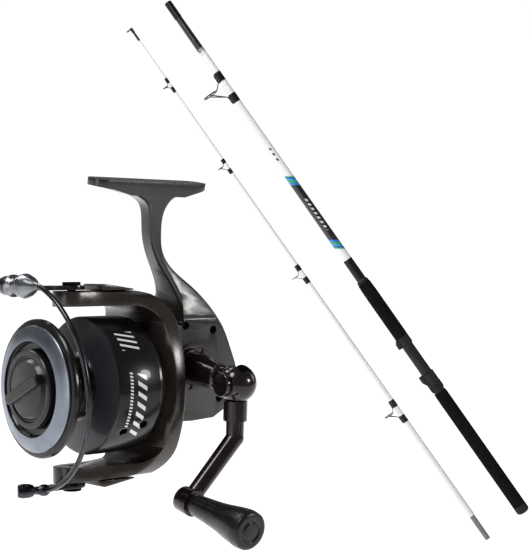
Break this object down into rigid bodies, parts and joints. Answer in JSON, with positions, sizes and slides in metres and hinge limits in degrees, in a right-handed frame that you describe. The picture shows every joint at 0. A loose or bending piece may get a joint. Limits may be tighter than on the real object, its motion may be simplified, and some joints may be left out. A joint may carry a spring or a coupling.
{
  "type": "fishing rod and spinning reel",
  "caption": "Two-piece rod with ring guides and foam grips, and a front-drag spinning reel with a folding crank, laid out as a kit.",
  "frame": {"origin": "on the middle line of the reel foot's top face, 32.5 mm behind its front end", "axes": "+Z out of the foot's top face, -Y the way the spool faces, +X the handle's side; the rod sections stand behind the reel in a plane turned 48 degrees about Z and leaned back 8 degrees"},
  "size_m": [1.7487, 1.7881, 0.9784],
  "materials": {
    "rod_white_lacquer": "gloss white lacquer over a glass fibre blank",
    "winding_lacquer": "black thread under gloss lacquer",
    "grip_foam": "fine matt black foam",
    "seat_plastic": "satin dark grey filled plastic",
    "guide_steel": "black-plated wire",
    "guide_ceramic": "polished dark ceramic",
    "spigot_composite": "ground grey composite",
    "housing_paint": "dark grey-green metallic paint",
    "black_steel": "blackened steel",
    "plum_anodised": "dark plum polished anodising",
    "bright_steel": "machined steel",
    "gear_metal": "cast alloy gear",
    "pinion_brass": "machined brass",
    "rotor_paint": "dark brown-grey satin finish",
    "bail_metal": "dark chrome",
    "roller_chrome": "bright chrome",
    "spool_black": "gloss black anodised aluminium",
    "lip_steel": "steel-blue anodised aluminium",
    "washer_felt": "greased felt and steel discs",
    "knob_plastic": "satin dark grey plastic",
    "handle_knob_plastic": "satin dark plastic"
  },
  "bodies": {
    "rod_butt": {"butt_blank": "rod_white_lacquer", "ferrule_winding": "winding_lacquer", "butt_windings": "winding_lacquer", "winding_check": "winding_lacquer", "fore_grip": "grip_foam", "reel_seat_tube": "seat_plastic", "fixed_hood": "seat_plastic", "rear_grip": "grip_foam", "butt_cap": "grip_foam", "stripping_guide_frame": "guide_steel", "stripping_guide_ring": "guide_ceramic"},
    "sliding_hood": {"sliding_hood": "seat_plastic"},
    "locking_nut": {"locking_nut": "seat_plastic"},
    "rod_tip": {"tip_blank": "rod_white_lacquer", "ferrule_spigot": "spigot_composite", "tip_guide_frame_1": "guide_steel", "tip_guide_frame_2": "guide_steel", "tip_guide_frame_3": "guide_steel", "tip_guide_frame_4": "guide_steel", "tip_guide_rings": "guide_ceramic", "tip_windings": "winding_lacquer", "tip_top_tube": "guide_steel", "tip_top_ring": "guide_ceramic"},
    "reel_body": {"reel_housing": "housing_paint", "side_cover": "housing_paint", "cover_screws": "black_steel", "bearing_cap": "plum_anodised", "axle_end_cap": "housing_paint", "ball_bearings": "bright_steel", "one_way_clutch": "bright_steel", "gearbox_pins": "bright_steel"},
    "anti_reverse_lever": {"anti_reverse_lever": "housing_paint"},
    "crank": {"drive_gear": "gear_metal", "handle_shaft": "plum_anodised"},
    "crank_arm": {"crank_arm": "plum_anodised", "arm_collar": "plum_anodised", "fold_screw": "black_steel", "knob_spindle": "bright_steel"},
    "handle_knob": {"handle_knob": "handle_knob_plastic", "knob_end_cap": "handle_knob_plastic"},
    "crosswind_gear": {"crosswind_gear": "gear_metal"},
    "rotor": {"rotor_bow": "rotor_paint", "rotor_cup": "rotor_paint", "rotor_nut": "bright_steel", "pinion": "pinion_brass", "arm_covers": "rotor_paint", "bail_pivot_screws": "black_steel"},
    "bail": {"bail_arm": "bail_metal", "bail_lever": "bail_metal", "bail_wire": "bail_metal", "wire_end_knob": "bail_metal", "roller_pin": "bail_metal", "wire_cone": "roller_chrome"},
    "line_roller": {"line_roller": "roller_chrome"},
    "main_shaft": {"main_shaft": "bright_steel", "crosswind_slider": "gear_metal"},
    "spool": {"spool": "spool_black", "spool_lip": "lip_steel", "drag_washers": "washer_felt"},
    "drag_knob": {"drag_knob": "knob_plastic"}
  },
  "joints": [
    {"name": "hood_slide", "type": "slide", "parent": "rod_butt", "child": "sliding_hood", "axis": [-0.5192, -0.4236, 0.7423], "range_m": [0, 0.024]},
    {"name": "nut_turn", "type": "hinge", "parent": "sliding_hood", "child": "locking_nut", "pos_m": [-1.10465, 1.57858, -0.49078], "axis": [-0.5192, -0.4236, 0.7423], "range_deg": [0, 2880]},
    {"name": "tip_draw", "type": "slide", "parent": "rod_butt", "child": "rod_tip", "axis": [-0.5192, -0.4236, 0.7423], "range_m": [0, 0.06]},
    {"name": "reel_draw", "type": "slide", "parent": "rod_butt", "child": "reel_body", "axis": [0, -1, 0], "range_m": [0, 0.08]},
    {"name": "anti_reverse_switch", "type": "hinge", "parent": "reel_body", "child": "anti_reverse_lever", "pos_m": [0, 0.057, -0.1415], "axis": [0, 0, 1], "range_deg": [0, 35]},
    {"name": "crank_turn", "type": "hinge", "parent": "reel_body", "child": "crank", "pos_m": [0, 0.0405, -0.1085], "axis": [1, 0, 0], "continuous": true},
    {"name": "rotor_turn", "type": "hinge", "parent": "reel_body", "child": "rotor", "pos_m": [0, 0.005, -0.1195], "axis": [0, 1, 0], "continuous": true},
    {"name": "crosswind_turn", "type": "hinge", "parent": "reel_body", "child": "crosswind_gear", "pos_m": [0.007, 0.056, -0.123], "axis": [1, 0, 0], "continuous": true},
    {"name": "handle_fold", "type": "hinge", "parent": "crank", "child": "crank_arm", "pos_m": [0.0575, 0.0405, -0.1085], "axis": [0, -1, 0], "range_deg": [0, 90]},
    {"name": "knob_spin", "type": "hinge", "parent": "crank_arm", "child": "handle_knob", "pos_m": [0.092, 0.0085, -0.1721], "axis": [1, 0, 0], "continuous": true},
    {"name": "bail_flip", "type": "hinge", "parent": "rotor", "child": "bail", "pos_m": [0, -0.032, -0.1195], "axis": [0.1736, 0, -0.9848], "range_deg": [0, 115]},
    {"name": "roller_spin", "type": "hinge", "parent": "bail", "child": "line_roller", "pos_m": [-0.01442, -0.064, -0.06366], "axis": [0.9848, 0, 0.1736], "continuous": true},
    {"name": "shaft_slide", "type": "slide", "parent": "reel_body", "child": "main_shaft", "axis": [0, -1, 0], "range_m": [-0.005, 0.014]},
    {"name": "spool_slip", "type": "hinge", "parent": "main_shaft", "child": "spool", "pos_m": [0, -0.035, -0.1195], "axis": [0, 1, 0], "continuous": true},
    {"name": "drag_turn", "type": "hinge", "parent": "main_shaft", "child": "drag_knob", "pos_m": [0, -0.059, -0.1195], "axis": [0, -1, 0], "range_deg": [-540, 540]}
  ],
  "couplings": [
    {"joint": "nut_turn", "follows": "hood_slide", "rad_per_m": 2094.4},
    {"joint": "rotor_turn", "follows": "crank_turn", "ratio": 4.875},
    {"joint": "crosswind_turn", "follows": "crank_turn", "ratio": -0.5}
  ]
}
